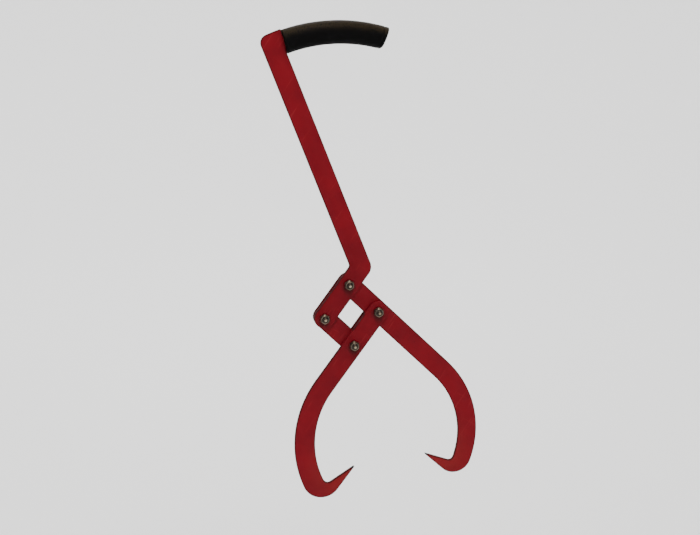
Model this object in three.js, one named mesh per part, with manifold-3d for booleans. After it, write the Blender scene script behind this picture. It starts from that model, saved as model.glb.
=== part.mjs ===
// Skidding tongs: a long flat-bar handle with a curved hand grip, a four-bar parallelogram
// linkage in three layers, and two hooks that close on a log as it is lifted or dragged.
// Millimetres, X to the right, Y away from the viewer, Z up, with the hooks half open.
// The origin is the middle of the hand grip.

import * as THREE from 'three';
import { mergeVertices } from 'three/addons/utils/BufferGeometryUtils.js';
import Module from 'manifold-3d';

const wasm = await Module();
wasm.setup();

// Flat bar that every arm and link is cut from
const barWidth = 30;
const barThickness = 5;
const layerGap = 0.3; // running clearance between two layers of bars

// Linkage: four pivots on a rhombus, named by where they stand
const pivotSpacing = 61.5;
const limbAngle = 53.7; // from the left pivot up to the upper pivot, degrees above X
const armAngle = -44.4; // from the upper pivot down to the right pivot

// Handle bar
const neckLength = 31; // upper pivot to the elbow
const handleAngle = 111.4; // lean of the long limb, degrees above X
const handleLength = 328.4; // elbow to the foot of the grip
const elbowOuterRadius = 18;
const elbowInnerRadius = 6;
const headRadius = 12; // rounded corner at the top of the bar
const headProud = 1.4; // how far the bar's head stands above the grip's back

// Tang inside the grip
const tangHeight = 20;
const tangLength = 128;
const tangNoseRadius = 8;

// Hand grip
const gripLength = 148.5;
const gripBendRadius = 235;
const gripButtHeight = 34; // at the bar
const gripEndHeight = 32; // at the free end
const gripDepth = 27;
const gripTiltAngle = 2.2; // how far the grip's arc starts off square to the long limb
const seatSlantAngle = 4.2; // how far the seat of the grip leans out towards its back
const gripButtRadius = 1.2; // rounding of the end against the bar
const gripEndRadius = 1.5; // rounding of the free end, at the grip's back
const gripToeRadius = 9; // and under it
const toeSharpness = 1.5; // how late the one goes over into the other
const gripSquareness = 2.5; // 2 is an ellipse, more is squarer
const seatGap = 0.3; // between pieces that seat on each other

// Hooks: the outer and the inner edge are each a wide arc, then a tight one, then the point.
// The angles say how far each arc turns; the inner share compares the wide inner arc's radius
// with that of a bar that keeps its width.
const hookStraight = 137; // from the right pivot, which both arms share
const tipFlat = 1; // blunt end of each point
const leftHook = {
  outerRadius: 168.7,
  outerAngle: 59.5,
  noseRadius: 29.6,
  noseAngle: 119.8,
  pointLength: 42.8,
  innerShare: 0.983,
  innerAngle: 61.9,
  throatRadius: 7,
  throatAngle: 95.7,
};
const rightHook = {
  outerRadius: 151.1,
  outerAngle: 65.3,
  noseRadius: 26.4,
  noseAngle: 112.6,
  pointLength: 38,
  innerShare: 1.04,
  innerAngle: 64.2,
  throatRadius: 6.8,
  throatAngle: 90.7,
};

// Pivot bolts, lock nuts with their inserts, and washers under the bolt heads
const boltDiameter = 8;
const boltLength = 30;
const boltTipChamfer = 1;
const boltHeadHeight = 5.3;
const hexAcrossFlats = 13;
const hexChamferAngle = 30;
const hexFaceShare = 0.95; // flat ring on a chamfered hexagon, of its width across flats
const pivotClearance = 0.3; // hole radius over bolt radius
const nutHeight = 8;
const nutHexHeight = 6;
const collarDiameter = 12.2;
const collarRound = 1.1;
const insertDiameter = 10.4;
const insertThickness = 1.3;
const insertWall = 0.9;
const collarLip = 0.6; // how far the collar's rim reaches over the insert
const washerDiameter = 16;
const washerThickness = 1.6;

// Facets
const roundFacets = 24;
const arcDivisions = 8; // half the facets of each arc in an outline
const gripFacets = 32;
const gripSteps = 14;
const roundingSteps = 4;

const halfWidth = barWidth / 2;
const boltRadius = boltDiameter / 2;
const holeRadius = boltRadius + pivotClearance;
const layerPitch = barThickness + layerGap;
const insertFloor = nutHeight - collarLip - insertThickness - seatGap;
const overrun = barThickness; // how far a cut runs past the face that it opens

const radians = THREE.MathUtils.degToRad;
const unit = (degrees) => new THREE.Vector2(Math.cos(radians(degrees)), Math.sin(radians(degrees)));
const along = (start, degrees, length) => unit(degrees).multiplyScalar(length).add(start);

// Pivots in the drawing plane, x right and y up, measured from the upper pivot
const upperPivot = new THREE.Vector2();
const leftPivot = along(upperPivot, limbAngle, -pivotSpacing);
const rightPivot = along(upperPivot, armAngle, pivotSpacing);
const lowerPivot = along(rightPivot, limbAngle, -pivotSpacing);

// The grip follows an arc; its seat starts at the right edge of the handle bar and leans out.
// Heights on it are counted up from the arc.
const elbow = along(upperPivot, limbAngle, neckLength);
const gripFoot = along(along(elbow, handleAngle, handleLength), handleAngle - 90, halfWidth);
const gripStart = handleAngle - gripTiltAngle; // place on the arc, degrees above X
const gripCentre = along(gripFoot, gripStart, gripButtHeight / 2 - gripBendRadius);
const arcDegrees = (length) => THREE.MathUtils.radToDeg(length / gripBendRadius);
const seatReach = (up) => (up + gripButtHeight / 2) * Math.tan(radians(seatSlantAngle));
const seatAngle = (up) => gripStart - arcDegrees(seatReach(up));
const handHold = along(gripCentre, gripStart - arcDegrees(gripLength / 2), gripBendRadius);

const red = { color: 0x7d161b, roughness: 0.45, metalness: 0.1 };
const black = { color: 0x17171a, roughness: 0.55, metalness: 0 };
const zinc = { color: 0xa9a69c, roughness: 0.35, metalness: 0.9 };
const nylon = { color: 0x3b3d44, roughness: 0.5, metalness: 0 };

// Drawing group: its x and y are the object's X and Z, and its z points to the viewer
const drawing = new THREE.Group();
drawing.rotation.x = Math.PI / 2;
drawing.position.set(-handHold.x, 0, -handHold.y);

function addPiece(name, geometry, finish, place = upperPivot, depth = 0, turn = 0) {
  const mesh = new THREE.Mesh(geometry, new THREE.MeshStandardMaterial(finish));
  mesh.name = name;
  mesh.position.set(place.x, place.y, depth);
  mesh.rotation.z = radians(turn);
  drawing.add(mesh);
}

function toSolid(geometry) {
  const bare = geometry.clone();
  bare.deleteAttribute('normal');
  bare.deleteAttribute('uv');
  const merged = mergeVertices(bare);
  return new wasm.Manifold(new wasm.Mesh({
    numProp: 3,
    vertProperties: merged.attributes.position.array,
    triVerts: new Uint32Array(merged.index.array),
  }));
}

function fromSolid(solid) {
  const mesh = solid.getMesh();
  const geometry = new THREE.BufferGeometry();
  geometry.setAttribute('position', new THREE.BufferAttribute(mesh.vertProperties, 3));
  geometry.setIndex(new THREE.BufferAttribute(mesh.triVerts, 1));
  geometry.computeVertexNormals();
  return geometry;
}

// Bars

function boltHole(place) {
  const hole = new THREE.Path();
  hole.absarc(place.x, place.y, holeRadius, 0, 2 * Math.PI);
  return hole;
}

function plate(shape, pivots, thickness = barThickness) {
  shape.holes = pivots.map(boltHole);
  const geometry = new THREE.ExtrudeGeometry(shape, {
    depth: thickness,
    bevelEnabled: false,
    curveSegments: arcDivisions,
  });
  return geometry.translate(0, 0, -thickness / 2);
}

// A straight link with full round ends, along x from its first pivot
function linkShape() {
  const shape = new THREE.Shape();
  shape.absarc(0, 0, halfWidth, radians(90), radians(270));
  shape.absarc(pivotSpacing, 0, halfWidth, radians(-90), radians(90));
  return shape;
}

// An arm along x with its hook bent to the +y side; straight is from its first pivot to the bend
function armShape(hook, straight) {
  const outerCentre = new THREE.Vector2(straight, hook.outerRadius - halfWidth);
  const outerEnd = hook.outerAngle - 90;
  const noseCentre = along(outerCentre, outerEnd, hook.outerRadius - hook.noseRadius);
  const noseEnd = outerEnd + hook.noseAngle;
  const tip = along(along(noseCentre, noseEnd, hook.noseRadius), noseEnd + 90, hook.pointLength);
  const tipInside = along(tip, noseEnd + 180, tipFlat);
  const innerRadius = (hook.outerRadius - barWidth) * hook.innerShare;
  const innerCentre = new THREE.Vector2(straight, innerRadius + halfWidth);
  const innerEnd = hook.innerAngle - 90;
  const throatCentre = along(innerCentre, innerEnd, innerRadius - hook.throatRadius);
  const throatEnd = innerEnd + hook.throatAngle;

  const shape = new THREE.Shape();
  shape.absarc(0, 0, halfWidth, radians(90), radians(270));
  shape.absarc(outerCentre.x, outerCentre.y, hook.outerRadius, radians(-90), radians(outerEnd));
  shape.absarc(noseCentre.x, noseCentre.y, hook.noseRadius, radians(outerEnd), radians(noseEnd));
  shape.lineTo(tip.x, tip.y);
  shape.lineTo(tipInside.x, tipInside.y);
  shape.absarc(throatCentre.x, throatCentre.y, hook.throatRadius,
    radians(throatEnd), radians(innerEnd), true);
  shape.absarc(innerCentre.x, innerCentre.y, innerRadius, radians(innerEnd), radians(-90), true);
  return shape;
}

// Rounds the corner where one straight edge ends and the next begins
function filletAt(shape, corner, inAngle, outAngle, radius) {
  const turn = outAngle - inAngle;
  const side = Math.sign(turn);
  const reach = radius * Math.tan(radians(Math.abs(turn) / 2));
  const centre = along(along(corner, inAngle, -reach), inAngle + side * 90, radius);
  shape.absarc(centre.x, centre.y, radius,
    radians(inAngle - side * 90), radians(outAngle - side * 90), side < 0);
}

// Outline of the tang on the grip's arc, grown all round by a clearance
function tangEdges(clearance) {
  return {
    inner: gripBendRadius - tangHeight / 2 - clearance,
    outer: gripBendRadius + tangHeight / 2 + clearance,
    end: gripStart - arcDegrees(tangLength + clearance),
    nose: tangNoseRadius + clearance,
  };
}

function drawTang(shape, clearance, lowerStart, upperStart) {
  const { inner, outer, end, nose } = tangEdges(clearance);
  const noseEnd = end + arcDegrees(nose);
  const lower = along(gripCentre, noseEnd, inner + nose);
  const upper = along(gripCentre, noseEnd, outer - nose);
  shape.absarc(gripCentre.x, gripCentre.y, inner,
    radians(lowerStart), radians(noseEnd), true);
  shape.absarc(lower.x, lower.y, nose, radians(noseEnd - 180), radians(noseEnd - 90));
  shape.absarc(upper.x, upper.y, nose, radians(noseEnd - 90), radians(noseEnd));
  shape.absarc(gripCentre.x, gripCentre.y, outer, radians(noseEnd), radians(upperStart));
}

function handleShape() {
  const elbowTurn = handleAngle - limbAngle;
  const mitre = halfWidth / Math.cos(radians(elbowTurn / 2));
  const mitreAngle = (handleAngle + limbAngle) / 2 - 90;
  const elbowOuter = along(elbow, mitreAngle, mitre);
  const elbowInner = along(elbow, mitreAngle, -mitre);

  // The head's top lies on an arc above the grip's back and rolls into the left edge
  const headHeight = gripButtHeight / 2 + headProud;
  const headArc = gripBendRadius + headHeight;
  const leftEdge = gripFoot.clone().sub(gripCentre).dot(unit(handleAngle - 90)) - barWidth;
  const cornerAside = leftEdge + headRadius;
  const cornerUp = Math.sqrt((headArc - headRadius) ** 2 - cornerAside ** 2);
  const headCentre = along(along(gripCentre, handleAngle, cornerUp), handleAngle - 90, cornerAside);
  const headEnd = THREE.MathUtils.radToDeg(headCentre.clone().sub(gripCentre).angle());

  const shape = new THREE.Shape();
  shape.absarc(leftPivot.x, leftPivot.y, halfWidth, radians(limbAngle + 90), radians(limbAngle + 270));
  filletAt(shape, elbowOuter, limbAngle, handleAngle, elbowOuterRadius);
  shape.lineTo(gripFoot.x, gripFoot.y);
  drawTang(shape, 0, seatAngle(-tangHeight / 2), seatAngle(tangHeight / 2));
  shape.absarc(gripCentre.x, gripCentre.y, headArc,
    radians(seatAngle(headHeight)), radians(headEnd));
  shape.absarc(headCentre.x, headCentre.y, headRadius, radians(headEnd), radians(handleAngle + 90));
  filletAt(shape, elbowInner, handleAngle - 180, limbAngle - 180, elbowInnerRadius);
  return shape;
}

// Hand grip

// Rings of the grip from the bar to the free end: share is how far along the plain stretch a
// ring lies, and turn is how far round the rounding of the end that it is on
function gripRings() {
  const rings = [];
  for (let i = roundingSteps; i >= 0; i -= 1) {
    rings.push({ share: 0, turn: (90 * i) / roundingSteps });
  }
  for (let i = 1; i < gripSteps; i += 1) {
    rings.push({ share: i / gripSteps, turn: 0 });
  }
  for (let i = 0; i <= roundingSteps; i += 1) {
    rings.push({ share: 1, turn: (90 * i) / roundingSteps });
  }
  return rings;
}

// Point of a ring, its angle counted from the grip's back
function gripPoint(ring, angle) {
  const underside = (1 - Math.cos(angle)) / 2;
  const endRadius = THREE.MathUtils.lerp(gripEndRadius, gripToeRadius, underside ** toeSharpness);
  const atButt = ring.share === 0;
  const radius = atButt ? gripButtRadius : endRadius;
  const reach = radius * Math.sin(radians(ring.turn)) * (atButt ? -1 : 1);
  const seat = seatGap + seatReach((gripButtHeight / 2) * soften(Math.cos(angle)));
  const first = seat + gripButtRadius;
  const place = THREE.MathUtils.lerp(first, gripLength - endRadius, ring.share) + reach;
  const inset = radius * (1 - Math.cos(radians(ring.turn)));
  const height = THREE.MathUtils.lerp(gripButtHeight, gripEndHeight, place / gripLength);
  return {
    place,
    up: (height / 2 - inset) * soften(Math.cos(angle)),
    out: (gripDepth / 2 - inset) * soften(Math.sin(angle)),
  };
}

function soften(value) {
  return Math.sign(value) * Math.abs(value) ** (2 / gripSquareness);
}

// A closed rounded bar along the grip's arc, its section a softened oval
function gripBody() {
  const rings = gripRings();
  const positions = [];
  const indices = [];
  const addPoint = ({ place, up, out }) => {
    const point = along(gripCentre, gripStart - arcDegrees(place), gripBendRadius + up);
    positions.push(point.x, point.y, out);
  };
  rings.forEach((ring) => {
    for (let j = 0; j < gripFacets; j += 1) {
      addPoint(gripPoint(ring, (2 * Math.PI * j) / gripFacets));
    }
  });
  for (let i = 0; i < rings.length - 1; i += 1) {
    for (let j = 0; j < gripFacets; j += 1) {
      const a = i * gripFacets + j;
      const b = i * gripFacets + ((j + 1) % gripFacets);
      indices.push(a, b, a + gripFacets, b, b + gripFacets, a + gripFacets);
    }
  }
  const butt = rings.length * gripFacets;
  const end = butt + 1;
  const lastRing = butt - gripFacets;
  addPoint({ place: seatGap + seatReach(0), up: 0, out: 0 });
  addPoint({ place: gripLength, up: 0, out: 0 });
  for (let j = 0; j < gripFacets; j += 1) {
    const next = (j + 1) % gripFacets;
    indices.push(butt, next, j);
    indices.push(end, lastRing + j, lastRing + next);
  }
  const geometry = new THREE.BufferGeometry();
  geometry.setAttribute('position', new THREE.Float32BufferAttribute(positions, 3));
  geometry.setIndex(indices);
  return geometry;
}

function tangPocket() {
  const shape = new THREE.Shape();
  const mouth = gripStart + arcDegrees(overrun);
  drawTang(shape, seatGap, mouth, mouth);
  return plate(shape, [], barThickness + 2 * seatGap);
}

function handGrip() {
  return fromSolid(toSolid(gripBody()).subtract(toSolid(tangPocket())));
}

// Fasteners, each drawn upright on its axis and then turned to face the viewer

function ringProfile(points) {
  const profile = points.map(([radius, height]) => new THREE.Vector2(radius, height));
  return new THREE.LatheGeometry(profile, roundFacets);
}

function round(points) {
  return toSolid(ringProfile(points));
}

// Hexagon from height 0 upwards, with the corners taken off at its outer face
function hexagon(height) {
  const cornerRadius = hexAcrossFlats / Math.sqrt(3);
  const prism = new THREE.CylinderGeometry(cornerRadius, cornerRadius, height, 6);
  prism.translate(0, height / 2, 0);
  const faceRadius = (hexAcrossFlats / 2) * hexFaceShare;
  const drop = (hexAcrossFlats - faceRadius) * Math.tan(radians(hexChamferAngle));
  const cone = round([
    [0, height - drop - overrun],
    [hexAcrossFlats, height - drop - overrun],
    [hexAcrossFlats, height - drop],
    [faceRadius, height],
    [0, height],
  ]);
  return toSolid(prism).intersect(cone);
}

function faceViewer(solid) {
  return fromSolid(solid).rotateX(Math.PI / 2);
}

// Head on the far side, shank towards the viewer; height 0 is the head's seat
function pivotBolt() {
  const head = fromSolid(hexagon(boltHeadHeight)).rotateX(Math.PI);
  const shank = round([
    [0, -boltHeadHeight / 2],
    [boltRadius, -boltHeadHeight / 2],
    [boltRadius, boltLength - boltTipChamfer],
    [boltRadius - boltTipChamfer, boltLength],
    [0, boltLength],
  ]);
  return faceViewer(toSolid(head).add(shank));
}

// Height 0 is the seat on the front bar
function lockNut() {
  const collarRadius = collarDiameter / 2;
  const seatRadius = insertDiameter / 2 + seatGap;
  const collar = round([
    [0, nutHexHeight / 2],
    [collarRadius, nutHexHeight / 2],
    [collarRadius, nutHeight - collarRound],
    [collarRadius - collarRound, nutHeight],
    [0, nutHeight],
  ]);
  const mouth = round([
    [0, -overrun],
    [holeRadius, -overrun],
    [holeRadius, insertFloor - seatGap],
    [seatRadius, insertFloor - seatGap],
    [seatRadius, nutHeight - collarLip],
    [seatRadius - collarLip, nutHeight - collarLip],
    [seatRadius - collarLip, nutHeight + overrun],
    [0, nutHeight + overrun],
  ]);
  return faceViewer(hexagon(nutHexHeight).add(collar).subtract(mouth));
}

function ring(outerRadius, innerRadius, thickness) {
  const corners = [
    [innerRadius, 0],
    [outerRadius, 0],
    [outerRadius, thickness],
    [innerRadius, thickness],
    [innerRadius, 0],
  ];
  return faceViewer(round(corners));
}

// Layers, counted from the viewer, and the fasteners' seats in front and behind
const layerDepth = (layer) => -layer * layerPitch;
const frontSeat = barThickness / 2 + seatGap;
const backSeat = layerDepth(2) - barThickness / 2 - seatGap;

addPiece('handle_bar', plate(handleShape(), [leftPivot, upperPivot]), red);
addPiece('hand_grip', handGrip(), black);

const rightStraight = pivotSpacing + hookStraight;
const nearPivots = [upperPivot, new THREE.Vector2(pivotSpacing, 0)];
addPiece('left_arm', plate(armShape(leftHook, hookStraight), nearPivots),
  red, rightPivot, layerDepth(0), limbAngle - 180);
addPiece('right_arm', plate(armShape(rightHook, rightStraight), nearPivots).rotateX(Math.PI),
  red, upperPivot, layerDepth(1), armAngle);
addPiece('cross_link', plate(linkShape(), nearPivots), red, leftPivot, layerDepth(1), armAngle);
addPiece('rear_link_upper', plate(linkShape(), nearPivots),
  red, leftPivot, layerDepth(2), limbAngle);
addPiece('rear_link_lower', plate(linkShape(), nearPivots),
  red, lowerPivot, layerDepth(2), limbAngle);

const pivots = { upper: upperPivot, left: leftPivot, right: rightPivot, lower: lowerPivot };
Object.entries(pivots).forEach(([where, place]) => {
  const washerSeat = backSeat - washerThickness;
  const insertRadius = insertDiameter / 2;
  addPiece(`pivot_bolt_${where}`, pivotBolt(), zinc, place, washerSeat - seatGap);
  addPiece(`washer_${where}`, ring(washerDiameter / 2, holeRadius, washerThickness),
    zinc, place, washerSeat);
  addPiece(`lock_nut_${where}`, lockNut(), zinc, place, frontSeat);
  addPiece(`nut_insert_${where}`, ring(insertRadius, insertRadius - insertWall, insertThickness),
    nylon, place, frontSeat + insertFloor);
});

const tongs = new THREE.Group();
tongs.add(drawing);

export default tongs;
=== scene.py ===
import math

import bmesh
import bpy
import numpy as np
from mathutils import Matrix, Vector, geometry


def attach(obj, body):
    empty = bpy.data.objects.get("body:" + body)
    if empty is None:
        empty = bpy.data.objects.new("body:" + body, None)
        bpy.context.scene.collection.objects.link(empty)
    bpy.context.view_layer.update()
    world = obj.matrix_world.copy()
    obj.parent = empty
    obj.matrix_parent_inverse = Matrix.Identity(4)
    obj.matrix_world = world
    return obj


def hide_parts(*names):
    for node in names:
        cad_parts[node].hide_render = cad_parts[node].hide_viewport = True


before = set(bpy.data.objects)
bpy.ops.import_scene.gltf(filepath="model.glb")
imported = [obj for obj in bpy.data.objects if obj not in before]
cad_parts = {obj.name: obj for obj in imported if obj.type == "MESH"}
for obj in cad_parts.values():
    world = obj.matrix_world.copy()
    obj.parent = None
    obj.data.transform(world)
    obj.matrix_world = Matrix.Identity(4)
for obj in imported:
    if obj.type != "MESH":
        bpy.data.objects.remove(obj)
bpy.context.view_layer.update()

mm = 0.001
weld = 4e-6  # metres, points of a grown mesh this close become one

# Linkage, in millimetres and degrees, drawn in a plane with x right and y up from the upper pivot
linkage = {
    "pivotSpacing": 61.5,
    "limbAngle": 53.7,
    "armAngle": -44.4,
    "barWidth": 30.0,
    "barThickness": 5.0,
    "layerPitch": 5.3,
    "holeRadius": 4.3,
}

handle = {
    "neckLength": 31.0,
    "leanAngle": 111.4,
    "limbLength": 328.4,
    "elbowOuterRadius": 18.0,
    "elbowInnerRadius": 6.0,
    "headRadius": 12.0,
    "headProud": 1.4,
    "headCornerRadius": 0.9,
    "tangHeight": 20.0,
    "tangLength": 128.0,
    "tangNoseRadius": 8.0,
}

grip = {
    "length": 148.5,
    "bendRadius": 235.0,
    "buttHeight": 34.0,
    "endHeight": 32.0,
    "depth": 27.0,
    "tiltAngle": 2.2,
    "seatSlantAngle": 4.2,
    "endSlantAngle": 4.4,  # the free end is cut back below
    "seatGap": 0.3,
    "buttRounding": 1.2,
    "endRounding": 1.0,
    "toeRounding": 4.4,
    "toeSharpness": 1.5,
    "squareness": 2.5,
    "rimPlace": 5.2,  # groove that sets off the rim, back from the free end
    "rimDepth": 0.45,
    "rimWidth": 0.9,
    "seamHeight": 0.16,  # parting line along the back and the belly
    "seamShare": 0.045,  # of the depth, out to each side
    "seamFade": 0.4,
    "rowsAlong": 180,
    "rowsRounding": 8,
    "rowsCap": 4,
    "columns": 144,
}

hookStraight = 137.0
leftHook = {
    "outerRadius": 168.7, "outerAngle": 59.5, "noseRadius": 29.6, "noseAngle": 119.8,
    "pointLength": 42.8, "innerShare": 0.983, "innerAngle": 61.9,
    "throatRadius": 7.0, "throatAngle": 95.7, "tipFlat": 1.0,
}
rightHook = {
    "outerRadius": 151.1, "outerAngle": 65.3, "noseRadius": 26.4, "noseAngle": 112.6,
    "pointLength": 38.0, "innerShare": 1.04, "innerAngle": 64.2,
    "throatRadius": 6.8, "throatAngle": 90.7, "tipFlat": 1.0,
}


def unit(degrees):
    return np.array([math.cos(math.radians(degrees)), math.sin(math.radians(degrees))])


def along(start, degrees, length):
    return np.asarray(start, float) + unit(degrees) * length


upperPivot = np.zeros(2)
leftPivot = along(upperPivot, linkage["limbAngle"], -linkage["pivotSpacing"])
rightPivot = along(upperPivot, linkage["armAngle"], linkage["pivotSpacing"])
lowerPivot = along(rightPivot, linkage["limbAngle"], -linkage["pivotSpacing"])
halfWidth = linkage["barWidth"] / 2

elbow = along(upperPivot, linkage["limbAngle"], handle["neckLength"])
limbTop = along(elbow, handle["leanAngle"], handle["limbLength"])
gripFoot = along(limbTop, handle["leanAngle"] - 90, halfWidth)
gripStart = handle["leanAngle"] - grip["tiltAngle"]
gripCentre = along(gripFoot, gripStart, grip["buttHeight"] / 2 - grip["bendRadius"])


def arcDegrees(length):
    return math.degrees(length / grip["bendRadius"])


def seatAngle(up):  # where the seat of the grip stands at a height above the arc
    reach = (up + grip["buttHeight"] / 2) * math.tan(math.radians(grip["seatSlantAngle"]))
    return gripStart - arcDegrees(reach)


handHold = along(gripCentre, gripStart - arcDegrees(grip["length"] / 2), grip["bendRadius"])

# From the drawing plane, z towards the viewer, to the object's own frame
drawing = Matrix((
    (mm, 0, 0, -handHold[0] * mm),
    (0, 0, -mm, 0),
    (0, mm, 0, -handHold[1] * mm),
    (0, 0, 0, 1),
))


# Node trees: a field of numbers that can be written in formulas

class Field:
    def __init__(self, tree, socket):
        self.tree = tree
        self.socket = socket

    def __add__(self, other):
        return calculate(self.tree, "ADD", self, other)

    def __radd__(self, other):
        return calculate(self.tree, "ADD", other, self)

    def __sub__(self, other):
        return calculate(self.tree, "SUBTRACT", self, other)

    def __rsub__(self, other):
        return calculate(self.tree, "SUBTRACT", other, self)

    def __mul__(self, other):
        return calculate(self.tree, "MULTIPLY", self, other)

    def __rmul__(self, other):
        return calculate(self.tree, "MULTIPLY", other, self)

    def __truediv__(self, other):
        return calculate(self.tree, "DIVIDE", self, other)

    def __rtruediv__(self, other):
        return calculate(self.tree, "DIVIDE", other, self)

    def __pow__(self, other):
        return calculate(self.tree, "POWER", self, other)


def feed(tree, value, socket):
    if isinstance(value, Field):
        value = value.socket
    if isinstance(value, bpy.types.NodeSocket):
        tree.links.new(value, socket)
    else:
        socket.default_value = value


def calculate(tree, operation, *values):
    node = tree.nodes.new("ShaderNodeMath")
    node.operation = operation
    for socket, value in zip(node.inputs, values):
        feed(tree, value, socket)
    return Field(tree, node.outputs[0])


def spread(tree, value, fromLow, fromHigh, toLow=0.0, toHigh=1.0, smooth=False):
    node = tree.nodes.new("ShaderNodeMapRange")
    node.clamp = True
    node.interpolation_type = "SMOOTHSTEP" if smooth else "LINEAR"
    for socket, number in zip(node.inputs, (value, fromLow, fromHigh, toLow, toHigh)):
        feed(tree, number, socket)
    return Field(tree, node.outputs[0])


def fade(tree, value, near, far, strength):  # strongest up to near, gone at far
    return spread(tree, value, near, far, strength, 0.0, smooth=True)


def addNode(tree, kind, settings=None, **inputs):
    node = tree.nodes.new(kind)
    for name, value in (settings or {}).items():
        setattr(node, name, value)
    for name, value in inputs.items():
        feed(tree, value, node.inputs[name.replace("_", " ")])
    return node


def splitVector(tree, vector):
    node = addNode(tree, "ShaderNodeSeparateXYZ", Vector=vector)
    return [Field(tree, output) for output in node.outputs]


def joinVector(tree, x, y, z):
    return addNode(tree, "ShaderNodeCombineXYZ", X=x, Y=y, Z=z).outputs[0]


def startTree(name, inputs):
    tree = bpy.data.node_groups.new(name, "GeometryNodeTree")
    face = tree.interface
    face.new_socket(name="Geometry", in_out="INPUT", socket_type="NodeSocketGeometry")
    face.new_socket(name="Geometry", in_out="OUTPUT", socket_type="NodeSocketGeometry")
    for label, kind in inputs.items():
        face.new_socket(name=label, in_out="INPUT", socket_type="NodeSocket" + kind)
    source = tree.nodes.new("NodeGroupInput")
    given = {label: Field(tree, source.outputs[label]) for label in inputs}
    given["Geometry"] = source.outputs["Geometry"]
    return tree, given


def endTree(tree, mesh):
    result = tree.nodes.new("NodeGroupOutput")
    tree.links.new(mesh, result.inputs["Geometry"])


def growMesh(name, tree, values, seed=None):
    obj = bpy.data.objects.new(name, seed or bpy.data.meshes.new(name))
    bpy.context.scene.collection.objects.link(obj)
    modifier = obj.modifiers.new("Shape", "NODES")
    modifier.node_group = tree
    for item in tree.interface.items_tree:
        if item.in_out == "INPUT" and item.name in values:
            modifier[item.identifier] = values[item.name]
    bpy.context.view_layer.update()
    depsgraph = bpy.context.evaluated_depsgraph_get()
    grown = bpy.data.meshes.new_from_object(obj.evaluated_get(depsgraph))
    obj.modifiers.clear()
    obj.data = grown
    grown.name = name
    return obj


# Materials

def startMaterial(name):
    material = bpy.data.materials.new(name)
    material.use_nodes = True
    tree = material.node_tree
    shader = tree.nodes["Principled BSDF"]
    place = tree.nodes.new("ShaderNodeTexCoord").outputs["Object"]
    return material, tree, shader, place


def noise(tree, place, scale, detail=3.0, roughness=0.5, stretch=None, turn=0.0):
    if stretch:
        place = addNode(tree, "ShaderNodeMapping", {"vector_type": "TEXTURE"}, Vector=place,
                        Scale=tuple(1 / share for share in stretch),
                        Rotation=(0.0, math.radians(turn), 0.0)).outputs[0]
    node = addNode(tree, "ShaderNodeTexNoise", Vector=place, Scale=scale,
                   Detail=detail, Roughness=roughness)
    return Field(tree, node.outputs[0])


def noises(tree, place, look, *names):
    return [noise(tree, place, *look[name]) for name in names]


def mixColour(tree, share, first, second):
    node = tree.nodes.new("ShaderNodeMix")
    node.data_type = "RGBA"
    feed(tree, share, node.inputs[0])
    for value, socket in ((first, node.inputs[6]), (second, node.inputs[7])):
        feed(tree, (*value, 1.0) if isinstance(value, tuple) else value, socket)
    return node.outputs[2]


def finishLook(tree, shader, look, colour, roughness, relief):
    feed(tree, colour, shader.inputs["Base Color"])
    feed(tree, roughness, shader.inputs["Roughness"])
    shader.inputs["Specular IOR Level"].default_value = look["specular"]
    node = addNode(tree, "ShaderNodeBump", Height=relief)
    node.inputs["Strength"].default_value = look["bumpStrength"]
    node.inputs["Distance"].default_value = look["bumpDepth"]
    tree.links.new(node.outputs[0], shader.inputs["Normal"])


def meshValue(tree, name):
    node = tree.nodes.new("ShaderNodeAttribute")
    node.attribute_name = name
    return Field(tree, node.outputs["Fac"])


paintLook = {
    "red": (0.155, 0.0014, 0.0068),
    "worn": (0.127, 0.0012, 0.0060),
    "tipWarmReflection": (0.260, 0.034, 0.020),
    # dark tone for painted shade at the edges and under the nuts, and for oil, grease and dirt
    "rim": (0.027, 0.0012, 0.0018),
    "scratch": (0.240, 0.020, 0.022),
    "primer": (0.052, 0.030, 0.026),
    "steel": (0.060, 0.058, 0.058),
    "darkSteel": (0.024, 0.023, 0.024),
    # Noises: scale, detail, roughness, stretch, turn in degrees
    "cloud": (26.0, 4.0),
    "speck": (420.0, 2.0),
    "ragged": (210.0, 5.0, 0.65),
    "peel": (760.0, 2.0, 0.4),
    "drawn": (420.0, 3.0, 0.6, (1.0, 0.06, 1.0)),
    "scuffs": (520.0, 2.0, 0.4, (1.0, 1.0, 0.035), 34.0),
    "scrapes": (380.0, 2.0, 0.4, (1.0, 1.0, 0.05), -58.0),
    # Wear, grease, painted reflection and painted shade by distance: full up to so many
    # millimetres, gone at so many, and its strength
    "tipWarmReflectionReach": (35.0, 90.0, 0.16),
    "oilyJoint": (25.0, 110.0, 0.14),
    "darkRim": (0.35, 2.8, 0.90),
    "nutGreaseAndShadow": (6.0, 16.0, 0.84),
    "bareTip": (8.2, 10.4, 1.0),
    # Wear by noise: the values it grows between, and its strength
    "redCloud": (0.36, 0.66),
    "scuffed": (0.665, 0.70),
    "scraped": (0.675, 0.71),
    "scoredCloud": (0.40, 0.62),
    "scoredStrength": 0.45,
    "soiledSpeck": (0.60, 0.70),
    "soiledCloud": (0.62, 0.42),
    "soiledStrength": 0.35,
    "chipped": (0.575, 0.63),
    "chippedStrength": 0.8,
    "gloss": (0.35, 0.95, 0.38, 0.54),
    "bareMetallic": 0.75,
    "specular": 0.11,
    "bumpStrength": 0.38,
    "bumpDepth": 0.0004,
}


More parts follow.
